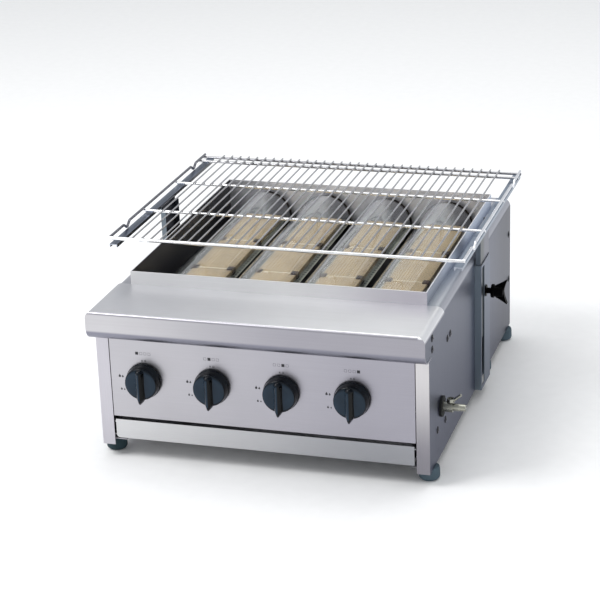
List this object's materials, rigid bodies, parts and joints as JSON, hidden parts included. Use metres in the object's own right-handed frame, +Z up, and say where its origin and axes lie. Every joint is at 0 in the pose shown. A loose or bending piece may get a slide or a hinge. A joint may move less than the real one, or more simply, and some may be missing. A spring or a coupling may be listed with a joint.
{
  "type": "countertop gas infrared grill",
  "caption": "Countertop gas grill: ceramic infrared burners under half-round glass covers, a height-adjustable wire grate on clamped posts, front valve knobs and a drip tray.",
  "frame": {"origin": "on the standing surface, under the middle of the whole object's box", "axes": "+Z up, the knobs and tray face -Y, the gas inlet is on the +X side"},
  "size_m": [0.7016, 0.75, 0.3605],
  "materials": {
    "brushed_stainless": "fine horizontal brushing",
    "side_stainless": "satin, in shade",
    "inner_steel": "dull, heat-tinted",
    "burner_steel": "matt, heat-tinted",
    "ceramic_plate": "matt, fine perforations",
    "clip_steel": "dark brown, scorched",
    "cover_glass": "clear, glossy",
    "chrome_wire": "bright",
    "rail_steel": "satin",
    "knob_plastic": "slate, satin",
    "clamp_plastic": "black",
    "brass_fitting": "dull, partly plated",
    "foot_rubber": "dark slate",
    "grommet_rubber": "black",
    "zinc_fastener": "zinc-plated",
    "pipe_steel": "drawn tube"
  },
  "bodies": {
    "cabinet": {"side_panel_left": "side_stainless", "side_panel_right": "side_stainless", "back_panel": "side_stainless", "floor_rails": "inner_steel", "front_hood": "brushed_stainless", "opening_rim": "brushed_stainless", "control_panel": "brushed_stainless", "tray_runners": "inner_steel", "burner_rails": "inner_steel", "burner_body_1": "burner_steel", "burner_body_2": "burner_steel", "burner_body_3": "burner_steel", "burner_body_4": "burner_steel", "ceramic_plates_1": "ceramic_plate", "ceramic_plates_2": "ceramic_plate", "ceramic_plates_3": "ceramic_plate", "ceramic_plates_4": "ceramic_plate", "plate_clips": "clip_steel", "glass_cover_1": "cover_glass", "glass_cover_2": "cover_glass", "glass_cover_3": "cover_glass", "glass_cover_4": "cover_glass", "glass_ends": "inner_steel", "mixing_tube_1": "pipe_steel", "mixing_tube_2": "pipe_steel", "mixing_tube_3": "pipe_steel", "mixing_tube_4": "pipe_steel", "gas_manifold": "pipe_steel", "gas_valves": "brass_fitting", "gas_nozzles": "brass_fitting", "supply_pipe": "brass_fitting", "gas_cock": "brass_fitting", "inlet_grommet": "grommet_rubber", "guide_channel_left": "side_stainless", "guide_channel_right": "side_stainless", "clamp_nuts": "zinc_fastener", "feet": "foot_rubber", "foot_bolts": "zinc_fastener", "side_screws": "zinc_fastener"},
    "tray": {"drip_tray": "brushed_stainless"},
    "gas_lever": {"cock_lever": "brass_fitting"},
    "valve_1": {"valve_stem_1": "zinc_fastener"},
    "valve_2": {"valve_stem_2": "zinc_fastener"},
    "valve_3": {"valve_stem_3": "zinc_fastener"},
    "valve_4": {"valve_stem_4": "zinc_fastener"},
    "dial_1": {"knob_1": "knob_plastic"},
    "dial_2": {"knob_2": "knob_plastic"},
    "dial_3": {"knob_3": "knob_plastic"},
    "dial_4": {"knob_4": "knob_plastic"},
    "lift_left": {"height_post_left": "rail_steel", "grate_rail_left": "rail_steel"},
    "lift_right": {"height_post_right": "rail_steel", "grate_rail_right": "rail_steel"},
    "grate": {"grate_bars": "chrome_wire", "grate_side_rods": "chrome_wire", "grate_wires": "chrome_wire"},
    "clamp_left": {"clamp_knob_left": "clamp_plastic", "clamp_stud_left": "zinc_fastener"},
    "clamp_right": {"clamp_knob_right": "clamp_plastic", "clamp_stud_right": "zinc_fastener"}
  },
  "joints": [
    {"name": "turn_1", "type": "hinge", "parent": "cabinet", "child": "valve_1", "pos_m": [-0.2115, -0.36, 0.154], "axis": [0, -1, 0], "range_deg": [0, 120]},
    {"name": "push_1", "type": "slide", "parent": "valve_1", "child": "dial_1", "axis": [0, 1, 0], "range_m": [0, 0.003], "stiffness_N_per_m": 500},
    {"name": "turn_2", "type": "hinge", "parent": "cabinet", "child": "valve_2", "pos_m": [-0.086, -0.36, 0.154], "axis": [0, -1, 0], "range_deg": [0, 120]},
    {"name": "push_2", "type": "slide", "parent": "valve_2", "child": "dial_2", "axis": [0, 1, 0], "range_m": [0, 0.003], "stiffness_N_per_m": 500},
    {"name": "turn_3", "type": "hinge", "parent": "cabinet", "child": "valve_3", "pos_m": [0.0395, -0.36, 0.154], "axis": [0, -1, 0], "range_deg": [0, 120]},
    {"name": "push_3", "type": "slide", "parent": "valve_3", "child": "dial_3", "axis": [0, 1, 0], "range_m": [0, 0.003], "stiffness_N_per_m": 500},
    {"name": "turn_4", "type": "hinge", "parent": "cabinet", "child": "valve_4", "pos_m": [0.165, -0.36, 0.154], "axis": [0, -1, 0], "range_deg": [0, 120]},
    {"name": "push_4", "type": "slide", "parent": "valve_4", "child": "dial_4", "axis": [0, 1, 0], "range_m": [0, 0.003], "stiffness_N_per_m": 500},
    {"name": "lift_right", "type": "slide", "parent": "cabinet", "child": "lift_right", "axis": [0, 0, 1], "range_m": [-0.028, 0.06]},
    {"name": "lift_left", "type": "slide", "parent": "cabinet", "child": "lift_left", "axis": [0, 0, 1], "range_m": [-0.028, 0.06]},
    {"name": "grate_off", "type": "slide", "parent": "lift_right", "child": "grate", "axis": [0, 0, 1], "range_m": [0, 0.12]},
    {"name": "tray_pull", "type": "slide", "parent": "cabinet", "child": "tray", "axis": [0, -1, 0], "range_m": [0, 0.5]},
    {"name": "clamp_turn_right", "type": "hinge", "parent": "cabinet", "child": "clamp_right", "pos_m": [0.311, 0.071, 0.209], "axis": [1, 0, 0], "range_deg": [0, 360]},
    {"name": "clamp_turn_left", "type": "hinge", "parent": "cabinet", "child": "clamp_left", "pos_m": [-0.311, 0.071, 0.209], "axis": [-1, 0, 0], "range_deg": [0, 360]},
    {"name": "gas_lever_turn", "type": "hinge", "parent": "cabinet", "child": "gas_lever", "pos_m": [0.315, -0.25, 0.128], "axis": [0, 0, 1], "range_deg": [0, 90]}
  ],
  "couplings": [
    {"joint": "lift_left", "follows": "lift_right", "ratio": 1}
  ]
}
